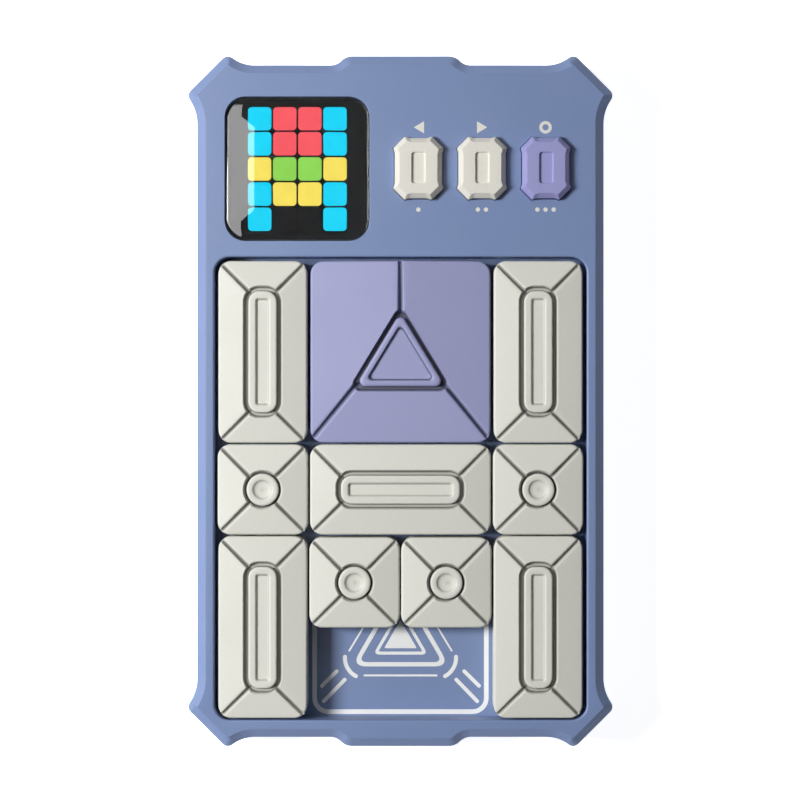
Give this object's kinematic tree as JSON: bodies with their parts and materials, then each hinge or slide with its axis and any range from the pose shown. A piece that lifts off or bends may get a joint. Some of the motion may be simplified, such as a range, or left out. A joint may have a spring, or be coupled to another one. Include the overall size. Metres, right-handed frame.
{
  "type": "sliding tile puzzle",
  "caption": "Handheld electronic sliding-block puzzle: a blue case with a tray of loose sliding tiles, a lit cell display and push buttons.",
  "frame": {"origin": "on the resting plane, under the middle of the case's outline", "axes": "+Z out of the play face, +Y towards the display end, +X to the right of someone looking at the face with the display at the top"},
  "size_m": [0.105, 0.1708, 0.0226],
  "materials": {
    "housing_plastic": "fine moulded texture",
    "cream_plastic": "fine moulded texture",
    "purple_plastic": "fine moulded texture",
    "cream_button": "fine moulded texture",
    "purple_button": "fine moulded texture",
    "print_ink": "pad print",
    "lens_clear": "smoked, polished",
    "display_black": "matt black",
    "window_cyan": "lit",
    "window_red": "lit",
    "window_yellow": "lit",
    "window_green": "lit",
    "window_off": "unlit",
    "led_white": "satin",
    "board_green": "solder resist",
    "chip_black": "moulded epoxy",
    "steel": "plated",
    "magnet_nickel": "nickel plated",
    "battery_skin": "printed sleeve",
    "rubber_black": "matt",
    "base_plastic": "plain moulded",
    "cable_grey": "flat cable",
    "plunger_white": "plain moulded"
  },
  "bodies": {
    "housing": {"front_housing": "housing_plastic", "rear_housing": "housing_plastic", "tray_floor": "housing_plastic", "display_lens": "lens_clear", "display_grid": "display_black", "display_windows": "window_cyan", "display_leds": "led_white", "main_board": "board_green", "main_board_parts": "chip_black", "tact_switches": "chip_black", "sensor_board": "board_green", "hall_sensors": "chip_black", "ribbon_cable": "cable_grey", "speaker": "chip_black", "battery_terminals": "steel", "battery_1": "battery_skin", "battery_2": "battery_skin", "battery_3": "battery_skin", "housing_screws": "steel", "board_screws": "steel", "rubber_feet": "rubber_black"},
    "button_left_body": {"button_left": "cream_button", "plunger_left": "plunger_white"},
    "button_middle_body": {"button_middle": "cream_button", "plunger_middle": "plunger_white"},
    "button_right_body": {"button_right": "purple_button", "plunger_right": "plunger_white"},
    "door": {"battery_door": "housing_plastic", "battery_door_screw": "steel"},
    "king_tile": {"king_tile_cap": "purple_plastic", "king_tile_base": "base_plastic", "king_tile_magnets": "magnet_nickel"},
    "bar_tile": {"bar_tile_cap": "cream_plastic", "bar_tile_base": "base_plastic", "bar_tile_magnets": "magnet_nickel"},
    "tall_tile_1": {"tall_tile_1_cap": "cream_plastic", "tall_tile_1_base": "base_plastic", "tall_tile_1_magnets": "magnet_nickel"},
    "tall_tile_2": {"tall_tile_2_cap": "cream_plastic", "tall_tile_2_base": "base_plastic", "tall_tile_2_magnets": "magnet_nickel"},
    "tall_tile_3": {"tall_tile_3_cap": "cream_plastic", "tall_tile_3_base": "base_plastic", "tall_tile_3_magnets": "magnet_nickel"},
    "tall_tile_4": {"tall_tile_4_cap": "cream_plastic", "tall_tile_4_base": "base_plastic", "tall_tile_4_magnets": "magnet_nickel"},
    "small_tile_1": {"small_tile_1_cap": "cream_plastic", "small_tile_1_base": "base_plastic", "small_tile_1_magnet": "magnet_nickel"},
    "small_tile_2": {"small_tile_2_cap": "cream_plastic", "small_tile_2_base": "base_plastic", "small_tile_2_magnet": "magnet_nickel"},
    "small_tile_3": {"small_tile_3_cap": "cream_plastic", "small_tile_3_base": "base_plastic", "small_tile_3_magnet": "magnet_nickel"},
    "small_tile_4": {"small_tile_4_cap": "cream_plastic", "small_tile_4_base": "base_plastic", "small_tile_4_magnet": "magnet_nickel"}
  },
  "joints": [
    {"name": "button_left_press", "type": "slide", "parent": "housing", "child": "button_left_body", "axis": [0, 0, -1], "range_m": [0, 0.0008], "stiffness_N_per_m": 600, "springref_m": -0.0005},
    {"name": "button_middle_press", "type": "slide", "parent": "housing", "child": "button_middle_body", "axis": [0, 0, -1], "range_m": [0, 0.0008], "stiffness_N_per_m": 600, "springref_m": -0.0005},
    {"name": "button_right_press", "type": "slide", "parent": "housing", "child": "button_right_body", "axis": [0, 0, -1], "range_m": [0, 0.0008], "stiffness_N_per_m": 600, "springref_m": -0.0005},
    {"name": "battery_door_lift", "type": "slide", "parent": "housing", "child": "door", "axis": [0, 0, -1], "range_m": [0, 0.015]},
    {"name": "king_slide", "type": "slide", "parent": "housing", "child": "king_tile", "axis": [0, -1, 0], "range_m": [0, 0.02265]},
    {"name": "bar_slide", "type": "slide", "parent": "housing", "child": "bar_tile", "axis": [0, -1, 0], "range_m": [0, 0.02265]},
    {"name": "small_tile_2_slide", "type": "slide", "parent": "bar_tile", "child": "small_tile_2", "axis": [0, 1, 0], "range_m": [-0.02235, 0]},
    {"name": "small_tile_3_slide", "type": "slide", "parent": "bar_tile", "child": "small_tile_3", "axis": [0, 1, 0], "range_m": [-0.02235, 0]},
    {"name": "tall_tile_1_lift", "type": "slide", "parent": "housing", "child": "tall_tile_1", "axis": [0, 0, 1], "range_m": [0, 0.012]},
    {"name": "tall_tile_2_lift", "type": "slide", "parent": "housing", "child": "tall_tile_2", "axis": [0, 0, 1], "range_m": [0, 0.012]},
    {"name": "tall_tile_3_lift", "type": "slide", "parent": "housing", "child": "tall_tile_3", "axis": [0, 0, 1], "range_m": [0, 0.012]},
    {"name": "tall_tile_4_lift", "type": "slide", "parent": "housing", "child": "tall_tile_4", "axis": [0, 0, 1], "range_m": [0, 0.012]},
    {"name": "small_tile_1_lift", "type": "slide", "parent": "housing", "child": "small_tile_1", "axis": [0, 0, 1], "range_m": [0, 0.012]},
    {"name": "small_tile_4_lift", "type": "slide", "parent": "housing", "child": "small_tile_4", "axis": [0, 0, 1], "range_m": [0, 0.012]}
  ],
  "couplings": [
    {"joint": "bar_slide", "follows": "king_slide", "ratio": 1}
  ]
}
